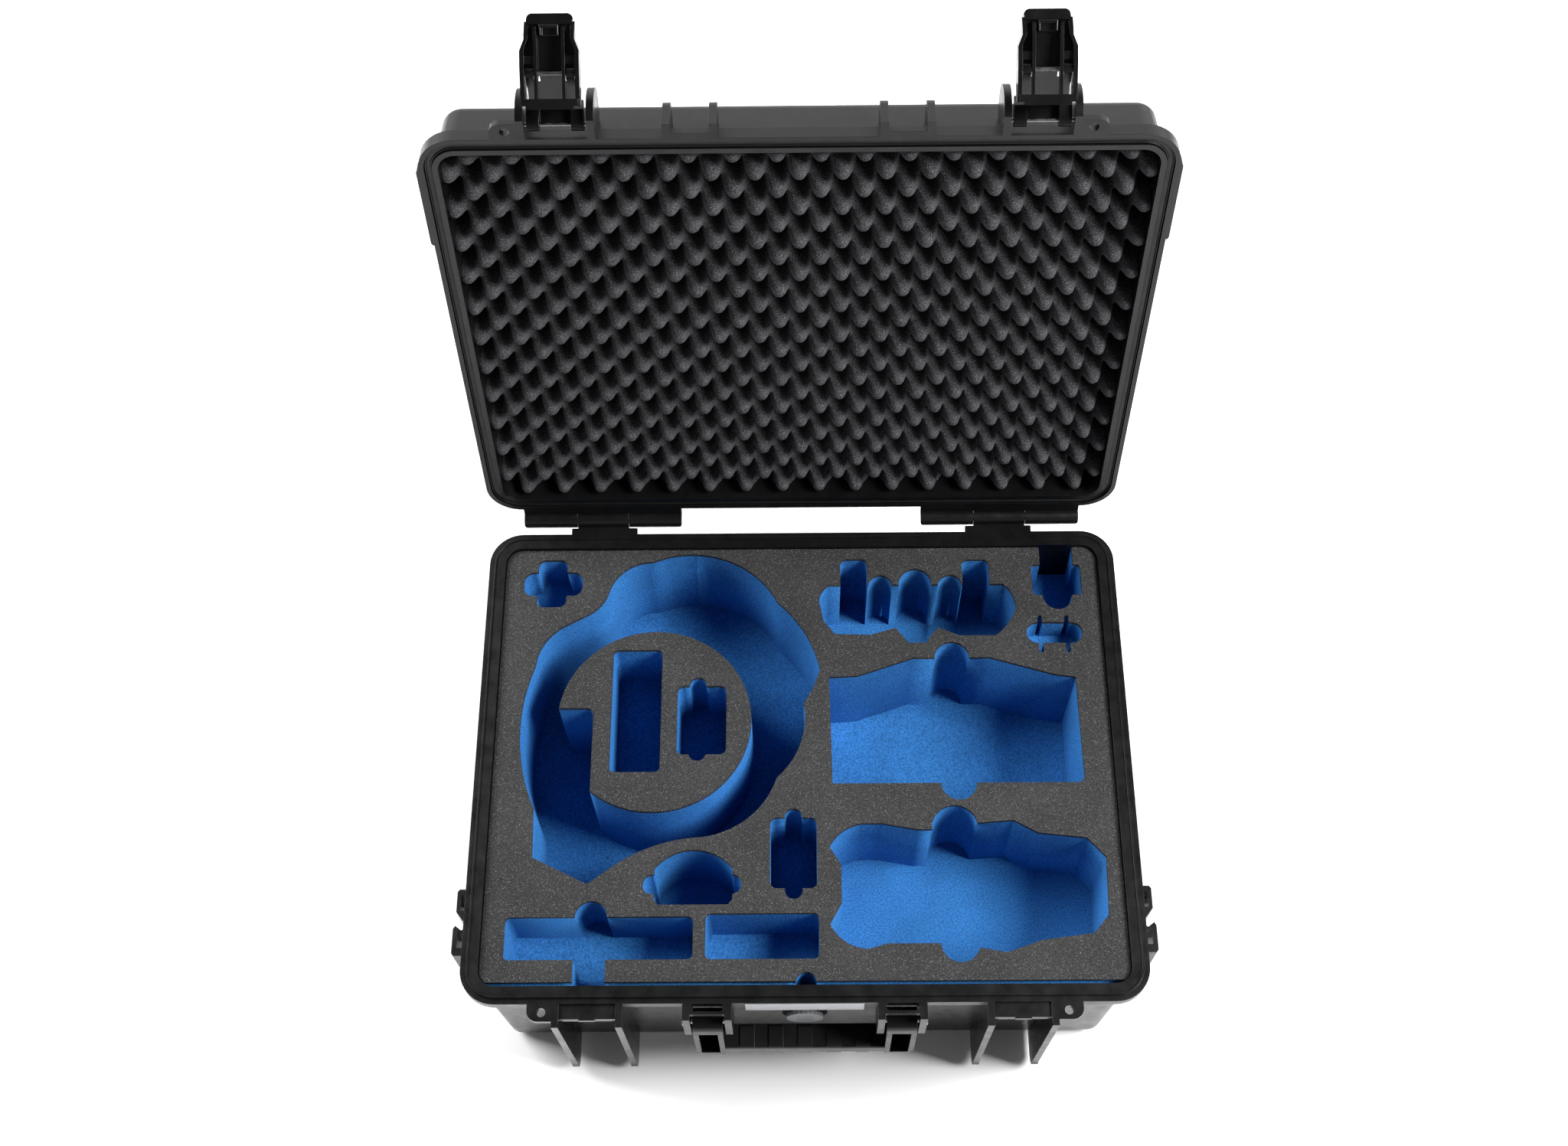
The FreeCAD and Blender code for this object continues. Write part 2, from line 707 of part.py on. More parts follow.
# Handle: two channel arms on the bracket pins, joined by a bar that carries the grip
def handle_arm():
    x0 = bracket_inner_x + bracket_rib / 2 + handle_side_gap
    x1 = bracket_outer_x - bracket_rib / 2 - handle_side_gap
    y, z = handle_pin_y, handle_pin_z
    front, back = y - handle_depth / 2 - 1, y + handle_depth / 2 - 1
    low = z - handle_length - grip_height / 2
    hub = handle_hub_radius
    outline = [
        (front + 1, z),
        (y, z + hub, y + hub, z),
        (back, z - 12),
        (back, low + 5),
        (back - 5, low),
        (front, low),
        (front, z - 14),
    ]
    arm = side(outline, x0, x1)
    corner = 12.0
    s = corner * (1 - math.sqrt(0.5))
    foot = [(x0, low), (x1 - corner, low), (x1 - s, low + s, x1, low + corner), (x1, z + 20), (x0, z + 20)]
    arm = arm.common(face(foot, lambda u, v: Vector(u, front - 5, v)).extrude(Vector(0, 40, 0)))
    hollow = block(x0 + arm_wall, x1 - arm_wall, front - 1, back - 3, low + 4, z - handle_pin_radius - 3)
    bore = rod_x(x0 - 1, x1 + 1, y, z, handle_pin_radius + running_fit)
    return arm.cut(hollow).cut(bore)


def grip_core():
    # The bar inside the grip, let 1 mm into each arm
    x = bracket_inner_x + bracket_rib / 2 + handle_side_gap + 1
    y, z = handle_pin_y - 1, handle_pin_z - handle_length
    deep, high = grip_core_depth / 2, grip_core_height / 2
    return block(-x, x, y - deep, y + deep, z - high, z + high)


def handle_frame():
    arm = handle_arm()
    return grip_core().fuse([arm, mirrored(arm)]).removeSplitter()


def handle_grip():
    x = bracket_inner_x + bracket_rib / 2 + handle_side_gap
    y, z = handle_pin_y - 1, handle_pin_z - handle_length
    y0, y1 = y - handle_depth / 2, y + handle_depth / 2
    z0, z1 = z - grip_height / 2, z + grip_height / 2
    grip = side(rounded(y0, y1, z0, z1, 3.5), -x, x)
    band = 2 * x / grip_bands
    for i in range(0, grip_bands, 2):
        a = -x + i * band
        grip = grip.cut(block(a, a + band, y0 - 1, y0 + grip_notch, z0 - 1, z0 + grip_notch + 1.5))
        grip = grip.cut(block(a, a + band, y0 - 1, y1 + 1, z1 - 1.2, z1 + 1))
    return grip.cut(grip_core())


# Foam insert: one outline for each pocket, and how deep it is cut
def pad(x0, x1, y0, y1, r, depth):
    return plan(rounded(x0, x1, y0, y1, r), skin_top - depth, skin_top + 5)


def round_pad(x, y, r, depth):
    return rod_z(x, y, skin_top - depth, skin_top + 5, r)


def ring_pocket():
    # The room for a round headset: an outer outline round a disc of foam left standing
    outline = [
        (-170, 120),
        (-161, 127, -154, 139),
        (-143, 158, -119, 167),
        (-60, 168, -19, 130),
        (2, 104, 14, 72),
        (9, 57),
        (1, 43),
        (-1, 12, -20, -18),
        (-44, -52, -77, -65),
        (-110, -71, -139, -85),
        (-161, -101),
        (-203, -80),
        (-204, -41),
        (-218, 25, -209, 76),
        (-202, 97, -187, 111),
    ]
    return plan(outline, skin_top - headset_depth, skin_top + 5)


def ring_island(z0, z1):
    disc = rod_z(-114.5, 30, z0, z1, 75)
    return disc.cut(plan(rounded(-200, -162, -60, 40, 5), z0 - 1, z1 + 1))


def kit_pockets():
    # Every other pocket, named for what lies in it
    pockets = {}
    charger = pad(-222, -175, 137, 158, 8, charger_depth)
    pockets["wall_charger"] = charger.fuse(pad(-211, -187.6, 127, 169, 6, charger_depth))
    pockets["cables"] = pad(-148, -109.5, -12.5, 89, 4, battery_depth)
    battery = pad(-97, -59, 1.5, 58, 5, battery_depth)
    pockets["battery_left"] = battery.fuse(pad(-87.5, -74.5, -3.5, 65, 6, battery_depth))
    battery = pad(-25, 10, -105, -50, 5, battery_depth)
    pockets["battery_right"] = battery.fuse(pad(-14, -1, -113, -43, 6, battery_depth))
    spare_line = [(-108, -117), (-56, -117), (-53, -113), (-53, -89), (-82, -75, -111, -89), (-111, -113)]
    spare = plan(spare_line, skin_top - spare_depth, skin_top + 5)
    pockets["spare_battery"] = spare.fuse(pad(-119.5, -46.5, -109, -94, 7, spare_depth))
    power = pad(-220, -81.6, -158, -126, 4, lead_depth).fuse(round_pad(-157, -126, 12, lead_depth))
    pockets["power_lead"] = power.fuse(pad(-169, -145, -half_d, -150, 1, lead_depth))
    pockets["charging_hub"] = pad(-72.5, 11, -158, -124, 4, lead_depth)
    remote_line = [
        (26, 102),
        (54, 101),
        (74, 107),
        (77, 103, 84, 94),
        (98, 94),
        (104, 103, 108, 107),
        (124, 100),
        (153, 100),
        (164, 112, 170, 125),
        (167, 137, 161, 145),
        (22, 145),
        (16, 139, 14, 130),
        (17, 114),
    ]
    remote = plan(remote_line, skin_top - remote_depth, skin_top + 5)
    lobes = [pad(31, 52.5, 120, 168, 5, remote_depth), pad(128.5, 150, 120, 167, 5, remote_depth)]
    for x, y, r in ((90.6, 146, 13), (62.7, 144, 9.5), (118.4, 144, 9.5)):
        lobes.append(round_pad(x, y, r, remote_depth))
    pockets["remote_control"] = remote.fuse(lobes)
    adapter = pad(184, 223, 135, 162, 3, adapter_depth).fuse(pad(191, 217.5, 150, half_d, 3, adapter_depth))
    pockets["adapter"] = adapter.fuse(round_pad(203.5, 134, 11.5, adapter_depth))
    small = pad(177, 221, 93, 111, 8.9, small_depth)
    slots = [pad(x - 1.8, x + 1.8, 85, 117, 1.7, small_depth) for x in (188, 209)]
    pockets["small_parts"] = small.fuse(slots)
    screen_line = [
        (22.5, -23),
        (211, -23),
        (214, -19),
        (213, 64),
        (198, 66),
        (147, 81),
        (87, 81),
        (43, 66),
        (21, 65),
    ]
    screen = plan(screen_line, skin_top - goggles_depth, skin_top + 5)
    bulges = [round_pad(x, y, 13.5, goggles_depth) for x, y in ((117.4, 81), (118.4, -23))]
    pockets["goggles"] = screen.fuse(bulges)
    drone_line = [
        (28, -116),
        (19, -132),
        (31, -146, 47, -151),
        (61, -147),
        (100, -147),
        (112.5, -161, 128, -150.5),
        (148, -154),
        (174, -145),
        (212, -140),
        (224, -126),
        (225.4, -82),
        (212, -67),
        (176, -63),
        (158, -53),
        (131, -55),
        (112.5, -41, 96.5, -60),
        (86, -60),
        (59, -55),
        (44, -55),
        (28, -62, 19.4, -73),
        (28, -87),
    ]
    pockets["folded_drone"] = plan(drone_line, skin_top - drone_depth, skin_top + 5)
    pockets["front_notch"] = round_pad(1.2, -175.4, 7.7, adapter_depth)
    return pockets


def foam_slab(z0, z1, front_setback=0.0):
    # A slice of the insert, leaning with the walls it stands between
    inset0 = opening_inset + wall_lean(z0) + foam_gap
    inset1 = opening_inset + wall_lean(z1) + foam_gap
    slab = tub(inset0, z0, inset1, z1)
    if front_setback:
        slab = slab.cut(block(-half_w, half_w, -half_d, -half_d + inset1 + front_setback, z0 - 1, z1 + 1))
    return slab


def foam_pieces():
    ring = ring_pocket()
    pockets = list(kit_pockets().values())
    valve_z = base_height - valve_drop
    nut_room = rod_y(0, -half_d, outer_wall_y(valve_z) + wall + 5, valve_z, valve_stem_radius + 6)
    island = ring_island(skin_top - headset_depth - 5, skin_top + 10)
    cutters = [ring.cut(island)] + pockets
    base_pad = round_level(foam_slab(wall + foam_gap, pad_top), wall + foam_gap, floor_round - wall)
    foam_block = foam_slab(pad_top, block_top).cut(cutters + [nut_room])
    skin = foam_slab(block_top, skin_top, skin_setback).cut([ring] + pockets)
    island_skin = ring_island(block_top, skin_top).cut(pockets)
    pieces = {"foam_base_pad": base_pad, "foam_block": foam_block}
    pieces.update({"foam_skin": skin, "foam_island_skin": island_skin})
    return pieces


# Every node, at rest
nodes = {"base_shell": base_shell(), "name_plate": name_plate()}
nodes.update(valve_pieces())
nodes.update(foam_pieces())
nodes["lid_shell"] = opened(lid_shell())
nodes["lid_seal"] = opened(lid_seal())
nodes["lid_foam"] = opened(lid_foam())
paired = {
    "hinge_pin": hinge_pin(),
    "handle_pin": handle_pin(),
    "latch_pin": opened(latch_pin()),
    "latch_link": link_at_rest(latch_link()),
    "latch_lever": lever_at_rest(latch_lever()),
    "latch_lever_pin": lever_at_rest(lever_pin()),
    "latch_clip": lever_at_rest(latch_clip()),
}
for name, shape in paired.items():
    nodes[name + "_right"] = shape
    nodes[name + "_left"] = mirrored(shape)
nodes["handle_frame"] = handle_frame()
nodes["handle_grip"] = handle_grip()

os.makedirs("parts", exist_ok=True)
for name, shape in nodes.items():
    solid = shape.Solids[0] if len(shape.Solids) == 1 else shape
    solid.exportStep("parts/" + name + ".step")
    print(name, "solids", len(shape.Solids), "valid", shape.isValid(), "cm3", round(shape.Volume / 1000, 1))
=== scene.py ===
import json
import math
import bpy
import numpy as np
from mathutils import Matrix, Quaternion, Vector

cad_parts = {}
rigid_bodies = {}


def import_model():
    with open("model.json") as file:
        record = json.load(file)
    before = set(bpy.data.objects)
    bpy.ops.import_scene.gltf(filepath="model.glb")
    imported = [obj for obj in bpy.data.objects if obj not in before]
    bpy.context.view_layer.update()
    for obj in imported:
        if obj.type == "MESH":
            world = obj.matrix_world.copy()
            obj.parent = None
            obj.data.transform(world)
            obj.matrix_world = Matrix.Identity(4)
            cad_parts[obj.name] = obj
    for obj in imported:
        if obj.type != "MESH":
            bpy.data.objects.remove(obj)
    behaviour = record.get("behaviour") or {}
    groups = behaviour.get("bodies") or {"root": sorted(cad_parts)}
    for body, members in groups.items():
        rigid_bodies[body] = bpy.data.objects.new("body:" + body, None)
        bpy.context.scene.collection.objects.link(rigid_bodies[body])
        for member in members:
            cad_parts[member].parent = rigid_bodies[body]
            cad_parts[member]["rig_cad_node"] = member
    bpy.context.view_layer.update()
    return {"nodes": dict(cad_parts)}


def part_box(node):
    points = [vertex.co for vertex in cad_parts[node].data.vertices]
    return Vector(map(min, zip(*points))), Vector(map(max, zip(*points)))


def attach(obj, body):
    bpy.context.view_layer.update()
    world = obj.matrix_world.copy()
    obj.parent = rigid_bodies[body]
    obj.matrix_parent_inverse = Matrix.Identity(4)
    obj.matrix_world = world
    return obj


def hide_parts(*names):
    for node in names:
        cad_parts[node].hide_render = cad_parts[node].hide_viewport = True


# A hard carrying case with its lid open, standing on the floor. The script goes through the case
# as it is put together: base, foam insert, plate and valve, hinges, lid, latches and handle.

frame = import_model()
nodes = frame["nodes"]

# Camera, floor and light
# The case stands on a wide pale floor, before a white wall, in a room that is dark overhead and dim
# in front. One soft lamp hangs on the right and a little in front, and one on the left and behind.
eye = (-0.00163, -0.53069, 1.52329)
tilt, pan, roll = math.radians(63.27), math.radians(-1.03), math.radians(-1.33)
sensor_width_mm, focal_length_mm = 36.0, 43.76
looks_along = Vector((math.sin(pan) * math.cos(tilt), math.cos(pan) * math.cos(tilt), -math.sin(tilt)))
bpy.ops.object.camera_add(location=eye)
camera = bpy.context.object
camera.rotation_mode = "QUATERNION"
camera.rotation_quaternion = looks_along.to_track_quat("-Z", "Y") @ Quaternion((0, 0, 1), roll)
camera.data.sensor_width = sensor_width_mm
camera.data.lens = focal_length_mm
camera.data.clip_end = 60.0
bpy.context.scene.camera = camera


def shader_node(tree, kind, inputs=None, **settings):
    # Adds one node, with its settings, and with its inputs set to a value or linked from a socket
    made = tree.nodes.new("ShaderNode" + kind)
    for key, value in settings.items():
        setattr(made, key, value)
    for key, value in (inputs or {}).items():
        if isinstance(value, bpy.types.NodeSocket):
            tree.links.new(value, made.inputs[key])
        else:
            made.inputs[key].default_value = value
    return made


def new_material(name, **values):
    # A material with one Principled shader, whose plain values are named by their sockets
    made = bpy.data.materials.new(name)
    made.use_nodes = True
    shader = made.node_tree.nodes["Principled BSDF"]
    for key, value in values.items():
        shader.inputs[key.replace("_", " ")].default_value = value
    return made, made.node_tree, shader


def dress(piece, material):
    piece.data.materials.clear()
    piece.data.materials.append(material)


floor_side = 24
bpy.ops.mesh.primitive_plane_add(size=floor_side)
floor = bpy.context.object
floor.name = "floor"
paper, _, _ = new_material("Pale_floor", Base_Color=(0.9, 0.9, 0.9, 1), Roughness=0.9)
dress(floor, paper)

room = bpy.data.worlds.new("White_room")
room.use_nodes = True
gaze = shader_node(room.node_tree, "TexCoord").outputs["Generated"]
toward = shader_node(room.node_tree, "SeparateXYZ", {"Vector": gaze}).outputs
walls_to_ceiling = {"Value": toward["Z"], "From Min": 0.5, "From Max": 0.85, "To Min": 1.6, "To Max": 0.05}
from_front_to_back = {"Value": toward["Y"], "From Min": -0.3, "From Max": 0.5, "To Min": 0.2, "To Max": 1.0}
heights = shader_node(room.node_tree, "MapRange", walls_to_ceiling).outputs["Result"]
depths = shader_node(room.node_tree, "MapRange", from_front_to_back).outputs["Result"]
brightness = shader_node(room.node_tree, "Math", {0: heights, 1: depths}, operation="MULTIPLY").outputs[0]
room.node_tree.links.new(brightness, room.node_tree.nodes["Background"].inputs["Strength"])
room.node_tree.nodes["Background"].inputs["Color"].default_value = (1, 1, 1, 1)
bpy.context.scene.world = room
bpy.context.scene.view_settings.view_transform = "Standard"

for name, place, aim, size, power in (
    ("right_lamp", (1.7, -0.25, 1.9), (0, 0.1, 0.2), 1.0, 105),
    ("left_lamp", (-1.9, 0.9, 1.7), (0, 0, 0.1), 1.4, 95),
):
    bpy.ops.object.light_add(type="AREA", location=place)
    lamp = bpy.context.object
    lamp.name = name
    lamp.rotation_euler = (Vector(aim) - Vector(place)).to_track_quat("-Z", "Y").to_euler()
    lamp.data.size = size
    lamp.data.energy = power

# Base shell
# The deep lower half, moulded in one piece from black polypropylene with a fine satin grain. The
# mould rounds its edges, and handling has left it a little paler and duller in patches.
shell_black = (0.0028, 0.0029, 0.0031, 1)
shell_grey = (0.0075, 0.0078, 0.0083, 1)


def group_with(name, inputs, outputs):
    # An empty node group, with its named sockets, and its input and output nodes
    tree = bpy.data.node_groups.new(name, "ShaderNodeTree")
    for socket, kind, value in inputs:
        made = tree.interface.new_socket(socket, in_out="INPUT", socket_type="NodeSocket" + kind)
        made.default_value = value
    for socket, kind in outputs:
        tree.interface.new_socket(socket, in_out="OUTPUT", socket_type="NodeSocket" + kind)
    return tree, tree.nodes.new("NodeGroupInput").outputs, tree.nodes.new("NodeGroupOutput").inputs


def span(tree, value, low, high, to_low=0.0, to_high=1.0):
    # Stretches the part of a value between low and high to a new range
    limits = {"Value": value, "From Min": low, "From Max": high, "To Min": to_low, "To Max": to_high}
    return shader_node(tree, "MapRange", limits).outputs["Result"]


# The colour drifts a little between two tones, and the surface is finely pebbled
grain, given, wanted = group_with(
    "Moulded grain",
    [
        ("Colour", "Color", shell_black),
        ("Worn colour", "Color", shell_grey),
        ("Roughness", "Float", 0.4),
        ("Grain", "Float", 1600.0),
    ],
    [("Colour", "Color"), ("Roughness", "Float"), ("Height", "Float")],
)
place = shader_node(grain, "TexCoord").outputs["Object"]
cloud = shader_node(grain, "TexNoise", {"Vector": place, "Scale": 14.0, "Detail": 5.0}).outputs["Fac"]
pebbles = {"Vector": place, "Scale": given["Grain"], "Detail": 2.0}
pebble = shader_node(grain, "TexNoise", pebbles).outputs["Fac"]
smear = shader_node(grain, "TexNoise", {"Vector": place, "Scale": 90.0, "Detail": 6.0}).outputs["Fac"]
drift = span(grain, cloud, 0.35, 0.75, 0.0, 0.35)
tones = {"Fac": drift, "Color1": given["Colour"], "Color2": given["Worn colour"]}
grain.links.new(shader_node(grain, "MixRGB", tones).outputs["Color"], wanted["Colour"])
rubbed = shader_node(grain, "Math", {0: span(grain, smear, 0.3, 0.7, -0.05, 0.06), 1: given["Roughness"]})
grain.links.new(rubbed.outputs[0], wanted["Roughness"])
grain.links.new(pebble, wanted["Height"])


def moulded(name, colour, worn, roughness, grain_size=1600.0, depth=0.06, ior=1.42):
    # A plastic or rubber with the moulded grain: a bigger grain_size is a finer grain
    made, tree, shader = new_material(name, IOR=ior)
    skin = tree.nodes.new("ShaderNodeGroup")
    skin.node_tree = grain
    skin.inputs["Colour"].default_value = colour
    skin.inputs["Worn colour"].default_value = worn
    skin.inputs["Roughness"].default_value = roughness
    skin.inputs["Grain"].default_value = grain_size
    tree.links.new(skin.outputs["Colour"], shader.inputs["Base Color"])
    tree.links.new(skin.outputs["Roughness"], shader.inputs["Roughness"])
    lift = {"Height": skin.outputs["Height"], "Strength": depth, "Distance": 0.0003}
    tree.links.new(shader_node(tree, "Bump", lift).outputs["Normal"], shader.inputs["Normal"])
    return made


def soften(piece, width, segments=2):
    # Joins a drawn solid's triangles, rounds its sharp edges, and evens out its shading
    weld = piece.modifiers.new("Join", "WELD")
    weld.merge_threshold = 0.00001
    flat = piece.modifiers.new("Flat faces", "DECIMATE")
    flat.decimate_type = "DISSOLVE"
    flat.angle_limit = math.radians(0.6)
    bevel = piece.modifiers.new("Moulded edges", "BEVEL")
    bevel.width = width
    bevel.segments = segments
    bevel.limit_method = "ANGLE"
    bevel.angle_limit = math.radians(38)
    bevel.miter_outer = "MITER_ARC"
    shading = piece.modifiers.new("Shading", "WEIGHTED_NORMAL")
    shading.keep_sharp = False
    shading.weight = 60


shell_plastic = moulded("Black_moulded_plastic", shell_black, shell_grey, 0.3)
dress(nodes["base_shell"], shell_plastic)
soften(nodes["base_shell"], 0.0011)

# A thin skin of charcoal foam is bonded on top, and each pocket is cut through both.


def foam_cells(name, cell, glint_share, depth_of_shade):
    # Fine open cells, with a painted glint: a lighter colour and a smoother surface in a few small round
    # cells
    tree, given, wanted = group_with(
        name,
        [("Colour", "Color", (0.1, 0.1, 0.1, 1)), ("Painted glint colour", "Color", (0.3, 0.3, 0.3, 1))],
        [("Colour", "Color"), ("Roughness", "Float"), ("Height", "Float")],
    )
    place = shader_node(tree, "TexCoord").outputs["Object"]
    cells = shader_node(tree, "TexVoronoi", {"Vector": place, "Scale": cell})
    chance = shader_node(tree, "SeparateColor", {"Color": cells.outputs["Color"]}).outputs[0]
    chosen = span(tree, chance, 1 - glint_share, 1.0)
    dot = span(tree, cells.outputs["Distance"], 0.2, 0.45, 1.0, 0.0)
    painted_glint = shader_node(tree, "Math", {0: chosen, 1: dot}, operation="MULTIPLY").outputs[0]
    fine = shader_node(tree, "TexNoise", {"Vector": place, "Scale": cell * 0.7, "Detail": 3.0}).outputs["Fac"]
    broad = shader_node(tree, "TexNoise", {"Vector": place, "Scale": 22.0, "Detail": 4.0}).outputs["Fac"]
    grainy = span(tree, fine, 0.3, 0.7, 1 - depth_of_shade, 1 + depth_of_shade)
    patchy = span(tree, broad, 0.3, 0.7, 0.86, 1.12)
    shade = shader_node(tree, "Math", {0: grainy, 1: patchy}, operation="MULTIPLY")
    toning = {0: given["Colour"], "Scale": shade.outputs[0]}
    toned = shader_node(tree, "VectorMath", toning, operation="SCALE").outputs[0]
    mixed = {"Fac": painted_glint, "Color1": toned, "Color2": given["Painted glint colour"]}
    tree.links.new(shader_node(tree, "MixRGB", mixed).outputs["Color"], wanted["Colour"])
    tree.links.new(span(tree, painted_glint, 0.0, 1.0, 0.95, 0.45), wanted["Roughness"])
    tree.links.new(fine, wanted["Height"])
    return tree


fine_cells = foam_cells("Fine foam cells", 1100.0, 0.3, 0.4)


def foam(name, cells, colour, painted_glint, depth):
    made, tree, shader = new_material(name, IOR=1.2)
    body = tree.nodes.new("ShaderNodeGroup")
    body.node_tree = cells
    body.inputs["Colour"].default_value = colour
    body.inputs["Painted glint colour"].default_value = painted_glint
    tree.links.new(body.outputs["Colour"], shader.inputs["Base Color"])
    tree.links.new(body.outputs["Roughness"], shader.inputs["Roughness"])
    lift = {"Height": body.outputs["Height"], "Strength": depth, "Distance": 0.0006}
    tree.links.new(shader_node(tree, "Bump", lift).outputs["Normal"], shader.inputs["Normal"])
    return made


def select_only(piece):
    for other in bpy.context.selected_objects:
        other.select_set(False)
    piece.select_set(True)
    bpy.context.view_layer.objects.active = piece


def foam_piece(name, cad_node, cut_edge):
    # A copy of a drawn foam solid, joined up, with its upper edges worn round where they were cut
    piece = nodes[cad_node].copy()
    piece.data = nodes[cad_node].data.copy()
    piece.name = name
    del piece["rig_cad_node"]
    bpy.context.scene.collection.objects.link(piece)
    select_only(piece)
    bpy.ops.object.mode_set(mode="EDIT")
    bpy.ops.mesh.select_all(action="SELECT")
    bpy.ops.mesh.remove_doubles(threshold=0.00001)
    bpy.ops.mesh.dissolve_limited(angle_limit=math.radians(0.5))
    bpy.ops.mesh.select_all(action="DESELECT")
    bpy.ops.object.mode_set(mode="OBJECT")
    top = max(v.co.z for v in piece.data.vertices)
    facing_up = {}
    for face in piece.data.polygons:
        for key in face.edge_keys:
            facing_up.setdefault(key, []).append(face.normal.z)
    for edge in piece.data.edges:
        lower_end = min(piece.data.vertices[i].co.z for i in edge.vertices)
        beside = facing_up[edge.key]
        edge.select = lower_end > top - 0.00001 and max(beside) > 0.9 > min(beside)
    bpy.ops.object.mode_set(mode="EDIT")
    bpy.ops.mesh.select_mode(type="EDGE")
    bpy.ops.mesh.bevel(offset=cut_edge, segments=3, affect="EDGES", clamp_overlap=True)
    bpy.ops.object.mode_set(mode="OBJECT")
    bpy.ops.object.shade_smooth_by_angle(angle=math.radians(40))
    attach(piece, "base")
    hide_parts(cad_node)
    return piece


# The second colour of each foam is the colour of its painted glint
blue_foam = foam("Blue_foam", fine_cells, (0.03, 0.152, 0.395, 1), (0.05, 0.23, 0.5, 1), 0.5)
charcoal_foam = foam("Charcoal_foam", fine_cells, (0.031, 0.031, 0.032, 1), (0.17, 0.17, 0.175, 1), 0.8)
for name, cad_node, cut_edge, material, slot in (
    ("blue_base_pad", "foam_base_pad", 0.001, blue_foam, "foam_blue"),
    ("blue_foam_block", "foam_block", 0.0004, blue_foam, "foam_blue"),
    ("charcoal_skin", "foam_skin", 0.0009, charcoal_foam, "foam_black"),
    ("charcoal_island", "foam_island_skin", 0.0009, charcoal_foam, "foam_black"),
):
    dress(foam_piece(name, cad_node, cut_edge), material)

# Along the front the skin stops short of the wall, and the block's bare edge is cut down below it
blue_block = bpy.data.objects["blue_foam_block"]
front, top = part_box("foam_block")[0][1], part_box("foam_block")[1][2]
step_wide, step_deep = 0.0045, 0.006
select_only(blue_block)
bpy.ops.object.mode_set(mode="EDIT")
bpy.ops.mesh.select_mode(type="VERT")
for back in (step_wide, step_wide - 0.0001):
    bpy.ops.mesh.select_all(action="SELECT")
    bpy.ops.mesh.bisect(plane_co=(0, front + back, 0), plane_no=(0, 1, 0))
bpy.ops.mesh.select_all(action="DESELECT")
bpy.ops.object.mode_set(mode="OBJECT")
for v in blue_block.data.vertices:
    v.select = v.co.y < front + step_wide - 0.00005 and v.co.z > top - 0.001
bpy.ops.object.mode_set(mode="EDIT")
bpy.ops.transform.translate(value=(0, 0, -step_deep))
bpy.ops.object.mode_set(mode="OBJECT")

# Name plate and air valve
# A plain satin aluminium plate is bonded into the apron under the rim. Below it a knurled grey
# knob with a slotted cap lets air in and out past a membrane, and holds on with a nut inside.
plate_colour = (0.5, 0.51, 0.53, 1)
brushed, tree, shader = new_material("Brushed_aluminium", Base_Color=plate_colour, Metallic=1.0)
place = shader_node(tree, "TexCoord").outputs["Object"]
along = shader_node(tree, "Mapping", {"Vector": place, "Scale": (6.0, 900.0, 900.0)}).outputs["Vector"]
streak = shader_node(tree, "TexNoise", {"Vector": along, "Scale": 3.0, "Detail": 4.0}).outputs["Fac"]
tree.links.new(span(tree, streak, 0.3, 0.7, 0.26, 0.4), shader.inputs["Roughness"])
lift = {"Height": streak, "Strength": 0.08, "Distance": 0.0002}
tree.links.new(shader_node(tree, "Bump", lift).outputs["Normal"], shader.inputs["Normal"])
dress(nodes["name_plate"], brushed)
soften(nodes["name_plate"], 0.0002)
valve_grey, valve_worn = (0.22, 0.225, 0.235, 1), (0.28, 0.285, 0.295, 1)
valve_plastic = moulded("Grey_valve_plastic", valve_grey, valve_worn, 0.5, 2600.0, 0.2)
rubber_black, rubber_worn = (0.006, 0.006, 0.0062, 1), (0.012, 0.012, 0.0123, 1)
rubber = moulded("Black_rubber", rubber_black, rubber_worn, 0.42, 2200.0, 0.12)
for name in ("valve_body", "valve_cap", "valve_nut"):
    dress(nodes[name], valve_plastic)
    soften(nodes[name], 0.0003)
for name in ("valve_seal", "valve_membrane"):
    dress(nodes[name], rubber)

# Lid shell and seal
# The shallow upper half, moulded like the base from the same plastic. A soft rubber ring lies in the
# groove of its rim and closes against the base's.
dress(nodes["lid_shell"], shell_plastic)
soften(nodes["lid_shell"], 0.0011)
dress(nodes["lid_seal"], rubber)
soften(nodes["lid_seal"], 0.0004)

# Lid foam
# A sheet of dark grey egg-crate foam, glued into the lid with its rows of soft points outwards. The
# points stand in staggered rows, as the rollers that split such a sheet leave them.
case_width, case_depth, rim_height = 0.5, 0.382, 0.163
rim_corner, wall_inset, lid_lean = 0.026, 0.0135, 0.003
tip_depth, back_depth, point_height = 0.0029, 0.0471, 0.03
point_pitch, row_pitch = 0.0291, 0.0155
mesh_step = 0.0019
hinge = Vector((0, 0.204, 0.163))
open_angle = math.radians(-100)

half_x, half_y = case_width / 2 - wall_inset, case_depth / 2 - wall_inset
corner = rim_corner - wall_inset
across, along = round(2 * half_x / mesh_step), round(2 * half_y / mesh_step)
bpy.ops.mesh.primitive_grid_add(x_subdivisions=across, y_subdivisions=along, size=2)
egg_crate = bpy.context.object
select_only(egg_crate)
egg_crate.name = "egg_crate_foam"
count = len(egg_crate.data.vertices)
spot = np.empty(count * 3)
egg_crate.data.vertices.foreach_get("co", spot)
spot = spot.reshape(-1, 3)
x, y = spot[:, 0] * half_x, spot[:, 1] * half_y
